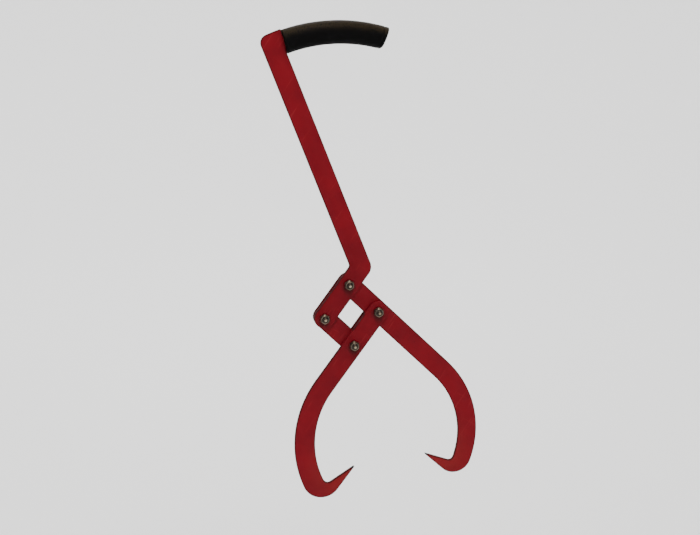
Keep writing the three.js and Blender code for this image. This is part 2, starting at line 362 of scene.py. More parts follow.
def makePaint():
    look = paintLook
    material, tree, shader, place = startMaterial("redPaint")
    edge, tip, nut, cut = (meshValue(tree, name) for name in ("edge", "tip", "nut", "cut"))
    cloud, speck, ragged, peel, drawn, scuffs, scrapes = noises(
        tree, place, look, "cloud", "speck", "ragged", "peel", "drawn", "scuffs", "scrapes")

    colour = mixColour(tree, spread(tree, cloud, *look["redCloud"]), look["worn"], look["red"])
    # Noise in millimetres is added to a distance, so that no wear or painted light ends in a clean
    # line
    # Lighter, warmer red towards the hook tips: a painted warm reflection
    tipWarmReflection = fade(tree, tip, *look["tipWarmReflectionReach"])
    colour = mixColour(tree, tipWarmReflection, colour, look["tipWarmReflection"])
    oily = fade(tree, nut + cloud * 20.0, *look["oilyJoint"])
    colour = mixColour(tree, oily, colour, look["rim"])
    # Darker paint along the edges: edge wear, and painted shade of the arrises
    darkRim = fade(tree, edge + ragged * 0.9, *look["darkRim"])
    colour = mixColour(tree, darkRim, colour, look["rim"])
    # Grease round each pivot, and the painted shadow that its nut casts below it
    greaseAndShadow = fade(tree, nut + ragged * 5.0, *look["nutGreaseAndShadow"])
    colour = mixColour(tree, greaseAndShadow, colour, look["rim"])

    scratched = spread(tree, scuffs, *look["scuffed"]) + spread(tree, scrapes, *look["scraped"])
    scored = scratched * spread(tree, cloud, *look["scoredCloud"]) * look["scoredStrength"]
    colour = mixColour(tree, scored, colour, look["scratch"])
    soiled = spread(tree, speck, *look["soiledSpeck"]) * spread(tree, cloud, *look["soiledCloud"])
    colour = mixColour(tree, soiled * look["soiledStrength"], colour, look["rim"])
    chipped = spread(tree, ragged - edge * 0.22, *look["chipped"])  # fewer away from the edge
    colour = mixColour(tree, chipped * look["chippedStrength"], colour, look["primer"])
    bare = fade(tree, tip + ragged * 9.0, *look["bareTip"])
    steelTone = mixColour(tree, speck, look["steel"], look["darkSteel"])
    colour = mixColour(tree, bare, colour, steelTone)

    feed(tree, bare * look["bareMetallic"], shader.inputs["Metallic"])
    gloss = spread(tree, cloud + speck * 0.35, *look["gloss"])
    roughness = gloss + chipped * 0.18 + cut * 0.42 + scratched * 0.12
    relief = peel * 0.6 + cut * drawn * 1.2 - chipped * 0.4 - scratched * 0.3 + speck * bare
    finishLook(tree, shader, look, colour, roughness, relief)
    return material


gripLook = {
    "black": (0.0016, 0.0016, 0.0017),
    "dustAndSheen": (0.0205, 0.0138, 0.0062),
    "rubbed": (0.0010, 0.0010, 0.0011),
    "cloud": (34.0, 4.0, 0.55),
    "grain": (1500.0, 2.0, 0.5),
    "pores": (520.0, 3.0, 0.6),
    "facingUp": (0.17, 0.78),
    "dustAndSheenPores": (0.30, 0.55),
    "rubbedPores": (0.56, 0.68),
    "rubbedStrength": 0.5,
    "gloss": (0.45, 0.95, 0.52, 0.68),
    "specular": 0.05,
    "bumpStrength": 0.34,
    "bumpDepth": 0.0004,
}


def makeGripBlack():
    look = gripLook
    material, tree, shader, place = startMaterial("gripBlack")
    cloud, grain, pores = noises(tree, place, look, "cloud", "grain", "pores")
    # Dust on the faces that look up, which also stands as a painted sheen on the grip's top
    upward = splitVector(tree, tree.nodes.new("ShaderNodeNewGeometry").outputs["Normal"])[2]
    lying = spread(tree, upward + cloud * 0.3, *look["facingUp"], smooth=True)
    dustAndSheenShare = lying * spread(tree, pores, *look["dustAndSheenPores"])
    colour = mixColour(tree, dustAndSheenShare, look["black"], look["dustAndSheen"])
    rubbed = spread(tree, pores, *look["rubbedPores"]) * look["rubbedStrength"]
    colour = mixColour(tree, rubbed, colour, look["rubbed"])
    roughness = spread(tree, cloud + grain * 0.3, *look["gloss"])
    finishLook(tree, shader, look, colour, roughness, grain * 0.5 + pores)
    return material


zincLook = {
    "bright": (0.400, 0.335, 0.240),
    "yellowed": (0.270, 0.205, 0.128),
    "tarnished": (0.070, 0.052, 0.036),
    "shadeAndDirt": (0.022, 0.016, 0.012),
    "shadeAndDirtCover": 0.96,
    "cloud": (160.0, 3.0),
    "turned": (900.0, 3.0, 0.6, (1.0, 0.2, 1.0)),
    "ragged": (480.0, 4.0, 0.6),
    "yellowedCloud": (0.38, 0.64),
    "tarnishedSpots": (0.56, 0.72),
    "tarnishedStrength": 0.6,
    "gloss": (0.5, 1.0, 0.27, 0.44),
    "metallic": 0.9,
    "specular": 0.5,
    "bumpStrength": 0.18,
    "bumpDepth": 0.00015,
}


def makeZinc():
    look = zincLook
    material, tree, shader, place = startMaterial("zincPlate")
    cloud, turned, ragged = noises(tree, place, look, "cloud", "turned", "ragged")
    zincShadeAndDirt = meshValue(tree, "zincShadeAndDirt")
    yellowed = spread(tree, cloud, *look["yellowedCloud"])
    colour = mixColour(tree, yellowed, look["bright"], look["yellowed"])
    tarnished = spread(tree, ragged, *look["tarnishedSpots"]) * look["tarnishedStrength"]
    colour = mixColour(tree, tarnished, colour, look["tarnished"])
    # Darker zinc: painted shade in the gap round the bolt's end and on the nut's flats, with some
    # dirt
    colour = mixColour(tree, zincShadeAndDirt * look["shadeAndDirtCover"], colour, look["shadeAndDirt"])
    shader.inputs["Metallic"].default_value = look["metallic"]
    roughness = spread(tree, cloud + turned * 0.5, *look["gloss"])
    finishLook(tree, shader, look, colour, roughness, turned + ragged * 0.5)
    return material


nylonLook = {
    "dark": (0.020, 0.020, 0.023),
    "pale": (0.036, 0.036, 0.042),
    "cloud": (260.0, 3.0),
    "fine": (1400.0, 2.0),
    "paleCloud": (0.4, 0.65),
    "gloss": (0.3, 0.7, 0.42, 0.56),
    "specular": 0.5,
    "bumpStrength": 0.15,
    "bumpDepth": 0.0001,
}


def makeNylon():
    look = nylonLook
    material, tree, shader, place = startMaterial("nylonGrey")
    cloud, fine = noises(tree, place, look, "cloud", "fine")
    colour = mixColour(tree, spread(tree, cloud, *look["paleCloud"]), look["dark"], look["pale"])
    roughness = spread(tree, fine, *look["gloss"])
    finishLook(tree, shader, look, colour, roughness, fine)
    return material


redPaint = makePaint()
gripBlack = makeGripBlack()
zincPlate = makeZinc()
nylonGrey = makeNylon()
print("materials made")


# Bars: an outline with rounded arrises, and rings inside it that carry the wear and the painted
# shade at the edges

barLook = {
    "arris": 0.42,
    "arrisSteps": 3,
    "wallRows": 4,
    "wearAndShadeRings": (1.0, 1.9, 3.2, 5.2),
    "arcStep": 1.3,  # longest step round an arc
    "arcTurn": 9.0,  # and its widest turn, in degrees
    "longStep": 4.0,
    "tipRounding": 0.5,
    "shortestStep": 0.02,  # outline points closer than this become one
    "ringSpare": 0.96,  # a ring's points that lie nearer to an edge than this share are left out
    "sameFace": 1e-3,
    "weld": 1e-4,
    "furthest": 110.0,  # distances are kept up to this
    "greaseAndShadowDrop": 4.0,  # how far the darkening round a pivot sits low: grease run down, and the painted shadow below its nut
    "slideInset": 0.3,  # an edge that lies over the bar behind loses its dark rim, edge wear and painted edge shade, from here inside its edge
    "slideFade": 1.6,  # and is quite without it this much further in
    "slideRim": 3.0,  # where it is without it, it looks like a face so far from any edge
}

# Middle lines of the straight runs of the bars in the layers behind the first
barRuns = {
    1: [np.array([upperPivot, along(rightPivot, linkage["armAngle"], hookStraight)]),
        np.array([leftPivot, lowerPivot])],
    2: [np.array([leftPivot, upperPivot]), np.array([lowerPivot, rightPivot])],
}


def arc(centre, radius, start, end):
    sweep = abs(end - start)
    byLength = math.ceil(math.radians(sweep) * radius / barLook["arcStep"])
    steps = max(byLength, math.ceil(sweep / barLook["arcTurn"]))
    return [along(centre, angle, radius) for angle in np.linspace(start, end, steps + 1)]


def filletAt(corner, inAngle, outAngle, radius):
    turn = outAngle - inAngle
    side = math.copysign(1, turn)
    reach = radius * math.tan(math.radians(abs(turn) / 2))
    centre = along(along(corner, inAngle, -reach), inAngle + side * 90, radius)
    return arc(centre, radius, inAngle - side * 90, outAngle - side * 90)


def roundCorner(before, corner, after, radius):
    inward, outward = corner - before, after - corner
    inAngle = math.degrees(math.atan2(inward[1], inward[0]))
    outAngle = math.degrees(math.atan2(outward[1], outward[0]))
    outAngle = inAngle + (outAngle - inAngle + 180) % 360 - 180
    return filletAt(corner, inAngle, outAngle, radius)


def linkOutline():
    return arc((0, 0), halfWidth, 90, 270) + arc((linkage["pivotSpacing"], 0), halfWidth, -90, 90)


def armOutline(hook, straight):
    outerCentre = np.array([straight, hook["outerRadius"] - halfWidth])
    outerEnd = hook["outerAngle"] - 90
    noseCentre = along(outerCentre, outerEnd, hook["outerRadius"] - hook["noseRadius"])
    noseEnd = outerEnd + hook["noseAngle"]
    nose = arc(noseCentre, hook["noseRadius"], outerEnd, noseEnd)
    tip = along(nose[-1], noseEnd + 90, hook["pointLength"])
    tipInside = along(tip, noseEnd + 180, hook["tipFlat"])
    innerRadius = (hook["outerRadius"] - linkage["barWidth"]) * hook["innerShare"]
    innerCentre = np.array([straight, innerRadius + halfWidth])
    innerEnd = hook["innerAngle"] - 90
    throatCentre = along(innerCentre, innerEnd, innerRadius - hook["throatRadius"])
    throat = arc(throatCentre, hook["throatRadius"], innerEnd + hook["throatAngle"], innerEnd)
    points = arc((0, 0), halfWidth, 90, 270)
    points += arc(outerCentre, hook["outerRadius"], -90, outerEnd) + nose
    points += roundCorner(nose[-1], tip, tipInside, barLook["tipRounding"])
    points += roundCorner(tip, tipInside, throat[0], barLook["tipRounding"])
    points += throat + arc(innerCentre, innerRadius, innerEnd, -90)
    return points, (tip + tipInside) / 2


def tangOutline():
    inner = grip["bendRadius"] - handle["tangHeight"] / 2
    outer = grip["bendRadius"] + handle["tangHeight"] / 2
    nose = handle["tangNoseRadius"]
    noseEnd = gripStart - arcDegrees(handle["tangLength"]) + arcDegrees(nose)
    lower = along(gripCentre, noseEnd, inner + nose)
    upper = along(gripCentre, noseEnd, outer - nose)
    points = arc(gripCentre, inner, seatAngle(-handle["tangHeight"] / 2), noseEnd)
    points += arc(lower, nose, noseEnd - 180, noseEnd - 90)
    points += arc(upper, nose, noseEnd - 90, noseEnd)
    return points + arc(gripCentre, outer, noseEnd, seatAngle(handle["tangHeight"] / 2))


def handleOutline():
    lean, limb = handle["leanAngle"], linkage["limbAngle"]
    mitre = halfWidth / math.cos(math.radians((lean - limb) / 2))
    mitreAngle = (lean + limb) / 2 - 90
    headHeight = grip["buttHeight"] / 2 + handle["headProud"]
    headArc = grip["bendRadius"] + headHeight
    leftEdge = np.dot(gripFoot - gripCentre, unit(lean - 90)) - linkage["barWidth"]
    aside = leftEdge + handle["headRadius"]
    up = math.sqrt((headArc - handle["headRadius"]) ** 2 - aside ** 2)
    headCentre = along(along(gripCentre, lean, up), lean - 90, aside)
    toHead = headCentre - gripCentre
    headEnd = math.degrees(math.atan2(toHead[1], toHead[0]))
    headTop = arc(gripCentre, headArc, seatAngle(headHeight), headEnd)
    tang = tangOutline()

    points = arc(leftPivot, halfWidth, limb + 90, limb + 270)
    points += filletAt(along(elbow, mitreAngle, mitre), limb, lean, handle["elbowOuterRadius"])
    points += [gripFoot] + tang
    points += roundCorner(tang[-1], headTop[0], headTop[2], handle["headCornerRadius"])
    points += headTop[2:] + arc(headCentre, handle["headRadius"], headEnd, lean + 90)
    points += filletAt(along(elbow, mitreAngle, -mitre), lean - 180, limb - 180,
                       handle["elbowInnerRadius"])
    return points


def asLoop(points, longest, clockwise=False):
    kept = [points[0]]
    for point in points[1:]:
        if np.linalg.norm(point - kept[-1]) > barLook["shortestStep"]:
            kept.append(point)
    if np.linalg.norm(kept[0] - kept[-1]) <= barLook["shortestStep"]:
        kept.pop()
    filled = []
    for start, end in zip(kept, kept[1:] + kept[:1]):
        count = max(1, math.ceil(np.linalg.norm(end - start) / longest))
        filled += [start + (end - start) * k / count for k in range(count)]
    loop = np.array(filled)
    x, y = loop[:, 0], loop[:, 1]
    area = np.dot(x, np.roll(y, -1)) - np.dot(y, np.roll(x, -1))
    return loop if (area < 0) == clockwise else loop[::-1]


def insetLoop(loop, distance):
    def outward(edges):
        normals = np.column_stack((edges[:, 1], -edges[:, 0]))
        return normals / np.linalg.norm(normals, axis=1)[:, None]
    first = outward(loop - np.roll(loop, 1, axis=0))
    second = outward(np.roll(loop, -1, axis=0) - loop)
    mitre = (first + second) / (1 + (first * second).sum(1))[:, None]
    return loop - mitre * distance


def distanceTo(points, loops):
    nearest = np.full(len(points), barLook["furthest"])
    for loop in loops:
        span = np.roll(loop, -1, axis=0) - loop
        for start, step in zip(loop, span):
            share = np.clip(((points - start) @ step) / (step @ step), 0, 1)
            gap = np.linalg.norm(points - start - share[:, None] * step, axis=1)
            nearest = np.minimum(nearest, gap)
    return nearest


def flatFace(loops, holes):
    rims = [insetLoop(loop, barLook["arris"]) for loop in loops]
    points, edges = [], []
    for rim in rims:
        first = len(points)
        points += list(rim)
        edges += [(first + i, first + (i + 1) % len(rim)) for i in range(len(rim))]
    for ring in barLook["wearAndShadeRings"]:
        inside = np.vstack([insetLoop(loop, ring) for loop in loops])
        points += list(inside[distanceTo(inside, loops) > ring * barLook["ringSpare"]])
    found = geometry.delaunay_2d_cdt([Vector(p) for p in points], edges, [], 1, 1e-7)
    flat = np.array([tuple(v) for v in found[0]])
    triangles = []
    for face in found[2]:
        middle = flat[list(face)].mean(0)
        if all(np.linalg.norm(middle - hole) > linkage["holeRadius"] for hole in holes):
            triangles.append(tuple(face))
    return flat, triangles


def barRows():
    half, arris, steps = linkage["barThickness"] / 2, barLook["arris"], barLook["arrisSteps"]
    turns = [math.radians(90 * k / steps) for k in range(steps + 1)]
    front = [(arris * (1 - math.sin(t)), half - arris * (1 - math.cos(t))) for t in turns]
    back = [(inset, -height) for inset, height in reversed(front)]
    heights = np.linspace(half - arris, arris - half, barLook["wallRows"] + 1)[1:-1]
    return front + [(0.0, height) for height in heights] + back


def makeBar(name, outline, holes, tip, placing, body, node):
    loops = [asLoop(outline, barLook["longStep"])]
    for hole in holes:
        loops.append(asLoop(arc(hole, linkage["holeRadius"], 0, 360), barLook["longStep"], True))
    flat, triangles = flatFace(loops, holes)
    shape = bmesh.new()
    for height in (linkage["barThickness"] / 2, -linkage["barThickness"] / 2):
        corners = [shape.verts.new((*point, height)) for point in flat]
        for face in triangles:
            shape.faces.new([corners[i] for i in face])
    for loop in loops:
        rows = []
        for inset, height in barRows():
            rows.append([shape.verts.new((*point, height)) for point in insetLoop(loop, inset)])
        for upper, lower in zip(rows, rows[1:]):
            for i in range(len(loop)):
                j = (i + 1) % len(loop)
                shape.faces.new((upper[i], upper[j], lower[j], lower[i]))
    bmesh.ops.remove_doubles(shape, verts=shape.verts, dist=barLook["weld"])
    bmesh.ops.recalc_face_normals(shape, faces=shape.faces)
    mesh = bpy.data.meshes.new(name)
    shape.to_mesh(mesh)
    shape.free()
    addWearAndShadeValues(mesh, loops, holes, tip, placing)
    mesh.transform(drawing @ placing)
    mesh.polygons.foreach_set("use_smooth", [True] * len(mesh.polygons))
    mesh.materials.append(redPaint)
    finishPiece(bpy.data.objects.new(name, mesh), body, [node])


def addWearAndShadeValues(mesh, loops, holes, tip, placing):
    greaseAndShadowDrop = np.array((placing.to_3x3().inverted() @ Vector((0, -barLook["greaseAndShadowDrop"], 0)))[:2])
    places = np.array([tuple(v.co) for v in mesh.vertices])
    flat, height = places[:, :2], np.abs(places[:, 2])
    half = linkage["barThickness"] / 2
    onFace = height > half - barLook["sameFace"]
    edge = np.where(onFace, distanceTo(flat, loops), 0.0)
    layer = round(-placing.translation.z / linkage["layerPitch"])
    drawn = np.array([tuple(placing @ Vector((*point, 0)))[:2] for point in flat])
    behind = distanceTo(drawn, barRuns.get(layer + 1, []))
    slide = np.clip((halfWidth - barLook["slideInset"] - behind) / barLook["slideFade"], 0, 1)
    edge = np.maximum(edge, barLook["slideRim"] * slide)
    cut = np.clip((half - height) / barLook["arris"], 0, 1)
    nut = np.full(len(places), barLook["furthest"])
    for hole in holes:
        nut = np.minimum(nut, np.linalg.norm(flat - hole - greaseAndShadowDrop, axis=1))
    toTip = np.full(len(places), barLook["furthest"])
    if tip is not None:
        toTip = np.minimum(toTip, np.linalg.norm(flat - tip, axis=1))
    for name, values in (("edge", edge), ("cut", cut), ("nut", nut), ("tip", toTip)):
        mesh.attributes.new(name, "FLOAT", "POINT").data.foreach_set("value", values)


def finishPiece(obj, body, nodes):
    if obj.name not in bpy.context.scene.collection.objects:
        bpy.context.scene.collection.objects.link(obj)
    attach(obj, body)
    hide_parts(*nodes)


def placed(pivot, layer, turn=0.0, flipped=False):
    depth = -layer * linkage["layerPitch"]
    turning = Matrix.Rotation(math.radians(turn), 4, "Z")
    over = Matrix.Rotation(math.pi if flipped else 0.0, 4, "X")
    return Matrix.Translation((*pivot, depth)) @ turning @ over


nearHoles = [np.zeros(2), np.array([linkage["pivotSpacing"], 0.0])]
limbTurn, armTurn = linkage["limbAngle"], linkage["armAngle"]
leftOutline, leftTip = armOutline(leftHook, hookStraight)
rightOutline, rightTip = armOutline(rightHook, linkage["pivotSpacing"] + hookStraight)

makeBar("handleBar", handleOutline(), [leftPivot, upperPivot], None,
        placed(upperPivot, 0), "handle", "handle_bar")
makeBar("leftArm", leftOutline, nearHoles, leftTip,
        placed(rightPivot, 0, limbTurn - 180), "left_arm", "left_arm")
makeBar("rightArm", rightOutline, nearHoles, rightTip,
        placed(upperPivot, 1, armTurn, flipped=True), "right_arm", "right_arm")
makeBar("crossLink", linkOutline(), nearHoles, None,
        placed(leftPivot, 1, armTurn), "cross_link", "cross_link")
makeBar("rearLinkUpper", linkOutline(), nearHoles, None,
        placed(leftPivot, 2, limbTurn), "handle", "rear_link_upper")
makeBar("rearLinkLower", linkOutline(), nearHoles, None,
        placed(lowerPivot, 2, limbTurn), "left_arm", "rear_link_lower")
print("bars made")


# Hand grip: rows run along its arc, columns round its section

def gripTree():
    sizes = [
        "Length", "Bend Radius", "Butt Height", "End Height", "Depth", "Seat Gap", "Seat Slant",
        "End Slant", "Butt Rounding", "End Rounding", "Toe Rounding", "Toe Sharpness",
        "Squareness", "Rim Place", "Rim Depth", "Rim Width", "Seam Height", "Seam Share",
        "Seam Fade", "Start Angle", "Centre X", "Centre Z",
    ]
    inputs = {label: "Float" for label in sizes}
    inputs.update(dict.fromkeys(("Rows Along", "Rows Rounding", "Rows Cap", "Columns"), "Int"))
    inputs["Material"] = "Material"
    tree, given = startTree("handGripNodes", inputs)
    capRows, roundRows, plainRows = given["Rows Cap"], given["Rows Rounding"], given["Rows Along"]
    rows = 2.0 * (capRows + roundRows) + plainRows
    grid = addNode(tree, "GeometryNodeMeshGrid", Size_X=1.0, Size_Y=1.0,
                   Vertices_X=rows + 1.0, Vertices_Y=given["Columns"] + 1.0)
    across, around, _ = splitVector(tree, tree.nodes.new("GeometryNodeInputPosition").outputs[0])
    row = (across + 0.5) * rows
    angle = (around + 0.5) * (2 * math.pi)
    backness = calculate(tree, "COSINE", angle)
    sideness = calculate(tree, "SINE", angle)

    def soften(value):
        size = calculate(tree, "ABSOLUTE", value) ** (2.0 / given["Squareness"])
        return calculate(tree, "SIGN", value) * size

    buttEnd = capRows + roundRows
    capShare = spread(tree, row, 0.0, capRows) * spread(tree, row, rows - capRows, rows, 1.0, 0.0)
    buttTurn = spread(tree, row, capRows, buttEnd, math.pi / 2, 0.0)
    endTurn = spread(tree, row, rows - buttEnd, rows - capRows, 0.0, math.pi / 2)
    share = spread(tree, row, buttEnd, rows - buttEnd)

    underside = ((1.0 - backness) / 2.0) ** given["Toe Sharpness"]
    endRadius = given["End Rounding"] + (given["Toe Rounding"] - given["End Rounding"]) * underside
    slant = calculate(tree, "TANGENT", given["Seat Slant"])
    seatReach = (soften(backness) + 1.0) * (given["Butt Height"] / 2.0) * slant
    first = given["Seat Gap"] + given["Butt Rounding"] + seatReach
    plain = first + (given["Length"] - endRadius - first) * share
    buttReach = given["Butt Rounding"] * calculate(tree, "SINE", buttTurn)
    spot = plain - buttReach + endRadius * calculate(tree, "SINE", endTurn)
    inset = given["Butt Rounding"] * (1.0 - calculate(tree, "COSINE", buttTurn))
    inset = inset + endRadius * (1.0 - calculate(tree, "COSINE", endTurn))

    fromRim = (spot - (given["Length"] - given["Rim Place"])) / given["Rim Width"]
    groove = given["Rim Depth"] / (1.0 + fromRim ** 4.0)
    seamDistance = calculate(tree, "ABSOLUTE", sideness)
    seam = spread(tree, seamDistance, 0.0, given["Seam Share"], given["Seam Height"], 0.0)
    relief = seam * spread(tree, inset, 0.0, given["Seam Fade"], 1.0, 0.0) - groove - inset

    taper = given["End Height"] - given["Butt Height"]
    height = given["Butt Height"] + taper * spot / given["Length"]
    up = (height / 2.0 + relief) * soften(backness) * capShare
    out = (given["Depth"] / 2.0 + relief) * soften(sideness) * capShare
    inCap = calculate(tree, "LESS_THAN", row, capRows)
    toMiddle = (seatReach - (given["Butt Height"] / 2.0) * slant) * inCap
    settled = spot + (capShare - 1.0) * toMiddle
    below = given["End Height"] / 2.0 - up
    settled = settled - below * calculate(tree, "TANGENT", given["End Slant"]) * share
    heading = given["Start Angle"] - settled / given["Bend Radius"]
    radius = given["Bend Radius"] + up
    x = given["Centre X"] + radius * calculate(tree, "COSINE", heading)
    z = given["Centre Z"] + radius * calculate(tree, "SINE", heading)
    moved = addNode(tree, "GeometryNodeSetPosition", Geometry=grid.outputs["Mesh"],
                    Position=joinVector(tree, x, 0.0 - out, z))
    merged = addNode(tree, "GeometryNodeMergeByDistance", Geometry=moved.outputs[0], Distance=weld)
    smooth = addNode(tree, "GeometryNodeSetShadeSmooth", Geometry=merged.outputs[0])
    whole = addNode(tree, "GeometryNodeRealizeInstances", Geometry=smooth.outputs[0])
    coated = addNode(tree, "GeometryNodeSetMaterial", Geometry=whole.outputs[0],
                     Material=given["Material"])
    endTree(tree, coated.outputs[0])
    return tree


def faceOut(mesh):
    shape = bmesh.new()
    shape.from_mesh(mesh)
    bmesh.ops.recalc_face_normals(shape, faces=shape.faces)
    shape.to_mesh(mesh)
    shape.free()


def makeGrip():
    centre = gripCentre - handHold
    lengths = {
        "Length": "length", "Bend Radius": "bendRadius", "Butt Height": "buttHeight",
        "End Height": "endHeight", "Depth": "depth", "Seat Gap": "seatGap",
        "Butt Rounding": "buttRounding", "End Rounding": "endRounding",
        "Toe Rounding": "toeRounding", "Rim Place": "rimPlace", "Rim Depth": "rimDepth",
        "Rim Width": "rimWidth", "Seam Height": "seamHeight", "Seam Fade": "seamFade",
    }
    values = {label: grip[key] * mm for label, key in lengths.items()}
    values.update({
        "Seat Slant": math.radians(grip["seatSlantAngle"]),
        "End Slant": math.radians(grip["endSlantAngle"]), "Toe Sharpness": grip["toeSharpness"],
        "Squareness": grip["squareness"], "Seam Share": grip["seamShare"],
        "Start Angle": math.radians(gripStart),
        "Centre X": centre[0] * mm, "Centre Z": centre[1] * mm, "Rows Along": grip["rowsAlong"],
        "Rows Rounding": grip["rowsRounding"], "Rows Cap": grip["rowsCap"],
        "Columns": grip["columns"], "Material": gripBlack,
    })
    obj = growMesh("handGrip", gripTree(), values)
    faceOut(obj.data)
    finishPiece(obj, "handle", ["hand_grip"])


makeGrip()
print("grip made")


# Fasteners: a profile turned round its axis, cut to a hexagon where it is wider than one

fasteners = {
    "acrossFlats": 13.0,
    "faceRadius": 6.15,
    "chamferAngle": 30.0,
    "boltRadius": 4.0,
    "boltLength": 30.0,
    "boltSeat": -15.3,  # heights of the seats, towards the viewer
    "headHeight": 5.3,
    "threadStart": 23.0,
    "threadPitch": 1.25,
    "threadDepth": 0.62,
    "threadRows": 10,  # in one pitch
    "threadFlank": (0.12, 0.88),  # crest and root, as shares of the wave
    "endTaper": 0.95,  # the bolt's end runs in by so much
    "endRun": 0.9,  # over this length
    "endSteps": 6,
    "cornerSpare": 0.25,  # profiles reach so far past the corners of the hexagon
    "coneSteps": 6,
    "washerSeat": -15.0,
    "washerThickness": 1.6,
    "washerRadius": 8.0,
    "nutSeat": 2.8,
    "nutHexHeight": 6.0,
    "nutHeight": 8.0,
    "collarRadius": 6.1,
    "collarCurl": 0.62,  # its top edge is rolled in by so much
    "collarCurlRise": 1.05,
    "collarSteps": 5,
    "boreRadius": 4.3,
    "insertFloor": 5.8,
    "insertThickness": 1.3,
    "insertRadius": 5.2,
    "facets": 96,
    "seed": 7,
    "twist": 5.0,  # degrees, how far a nut or head may stand off square
    "sharpAngle": 32.0,
}
cornerReach = fasteners["acrossFlats"] / math.sqrt(3) + fasteners["cornerSpare"]

# Painted shade and dirt on the fasteners, by distance from the pivot's axis: where it starts and
# where it is full
shadeAndDirt = {
    "gap": (1.2, 2.3),
    "collarTop": (5.5, 5.15),
    "flats": (5.2, 6.1),
    "flatsShare": 0.70,
    "flatsAside": 0.30,  # so much more at the sides
    "boltEdge": (3.4, 4.4),
    "boltEdgeAside": 0.45,
    "back": 0.42,
}


def turnedTree():
    inputs = {
        "Facets": "Int", "Across Flats": "Float", "Thread Pitch": "Float", "Thread Depth": "Float",
        "First Place": "Vector", "Second Place": "Vector", "Twist": "Float", "Seed": "Int",
        "Material": "Material",
    }
    tree, given = startTree("turnedPieceNodes", inputs)
    size = addNode(tree, "GeometryNodeAttributeDomainSize", Geometry=given["Geometry"])
    count = Field(tree, size.outputs["Point Count"])
    grid = addNode(tree, "GeometryNodeMeshGrid", Size_X=1.0, Size_Y=1.0,
                   Vertices_X=count, Vertices_Y=given["Facets"] + 1.0)
    across, around, _ = splitVector(tree, tree.nodes.new("GeometryNodeInputPosition").outputs[0])
    index = calculate(tree, "ROUND", (across + 0.5) * (count - 1.0))
    turn = around + 0.5

    place = tree.nodes.new("GeometryNodeInputPosition").outputs[0]
    sample = addNode(tree, "GeometryNodeSampleIndex", {"data_type": "FLOAT_VECTOR"},
                     Geometry=given["Geometry"], Value=place, Index=index)
    outline, threaded, level = splitVector(tree, sample.outputs[0])
    angle = turn * (2 * math.pi)
    toCorner = calculate(tree, "FLOORED_MODULO", angle, math.pi / 3) - math.pi / 6
    hexagon = given["Across Flats"] / 2.0 / calculate(tree, "COSINE", toCorner)
    wave = calculate(tree, "PINGPONG", level / given["Thread Pitch"] - turn, 0.5) * 2.0
    thread = spread(tree, wave, *fasteners["threadFlank"]) * given["Thread Depth"] * threaded
    radius = calculate(tree, "MINIMUM", outline, hexagon) - thread
    x = radius * calculate(tree, "SINE", angle)
    z = radius * calculate(tree, "COSINE", angle)
    moved = addNode(tree, "GeometryNodeSetPosition", Geometry=grid.outputs["Mesh"],
                    Position=joinVector(tree, x, 0.0 - level, z))
    merged = addNode(tree, "GeometryNodeMergeByDistance", Geometry=moved.outputs[0], Distance=weld)
    smooth = addNode(tree, "GeometryNodeSetShadeSmooth", Geometry=merged.outputs[0])

    line = addNode(tree, "GeometryNodeMeshLine", {"mode": "END_POINTS"}, Count=2)
    feed(tree, given["First Place"], line.inputs["Start Location"])
    feed(tree, given["Second Place"], line.inputs["Offset"])
    random = addNode(tree, "FunctionNodeRandomValue", {"data_type": "FLOAT"})
    feed(tree, 0.0 - given["Twist"], random.inputs[2])
    feed(tree, given["Twist"], random.inputs[3])
    feed(tree, given["Seed"], random.inputs["Seed"])
    copies = addNode(tree, "GeometryNodeInstanceOnPoints", Points=line.outputs[0],
                     Instance=smooth.outputs[0],
                     Rotation=joinVector(tree, 0.0, random.outputs[1], 0.0))
    whole = addNode(tree, "GeometryNodeRealizeInstances", Geometry=copies.outputs[0])
    coated = addNode(tree, "GeometryNodeSetMaterial", Geometry=whole.outputs[0],
                     Material=given["Material"])
    endTree(tree, coated.outputs[0])
    return tree


def profileMesh(name, points):
    mesh = bpy.data.meshes.new(name)
    rows = [(p[0] * mm, p[2] if len(p) > 2 else 0.0, p[1] * mm) for p in points]
    mesh.from_pydata(rows, [(i, i + 1) for i in range(len(rows) - 1)], [])
    return mesh


def coneRows(top, side):
    # The corners of the hexagon, taken off by a cone, from its face out: side 1 down, -1 up
    reach = cornerReach - fasteners["faceRadius"]
    rise = reach * math.tan(math.radians(fasteners["chamferAngle"]))
    shares = [k / fasteners["coneSteps"] for k in range(fasteners["coneSteps"] + 1)]
    return [(fasteners["faceRadius"] + reach * k, top - side * rise * k) for k in shares]


# Profiles, as rows of radius, height over the seat and, for a thread, its share of the depth

def boltProfile():
    f = fasteners
    radius, length, top = f["boltRadius"], f["boltLength"], -f["headHeight"]
    # Dished face, washer face under the head, fillet, plain shank
    rows = [(0, top + 0.32), (2.6, top + 0.32), (3.4, top + 0.24), (3.9, top + 0.04), (4.2, top)]
    rows += coneRows(top, -1)
    rows += [(cornerReach, top / 2), (cornerReach, -0.75), (6.6, -0.28), (6.0, -0.26), (5.9, 0)]
    rows += [(radius + 0.3, 0), (radius + 0.08, 0.12), (radius, 0.4), (radius, 8), (radius, 16)]
    end = length - f["endRun"]
    for level in np.arange(f["threadStart"], end, f["threadPitch"] / f["threadRows"]):
        rows.append((radius, level, min(1.0, (level - f["threadStart"]) / f["threadPitch"])))
    for k in range(f["endSteps"] + 1):
        share = k / f["endSteps"]
        level = end + (f["endRun"] - 0.02) * share
        rows.append((radius - f["endTaper"] * share, level, 1 - share))
    # Rings on the flat end carry the painted shade and dirt
    rings = (radius - f["endTaper"] - 0.2, 2.6, 2.3, 2.0, 1.7, 1.4, 0.7, 0)
    return rows + [(ring, length) for ring in rings]


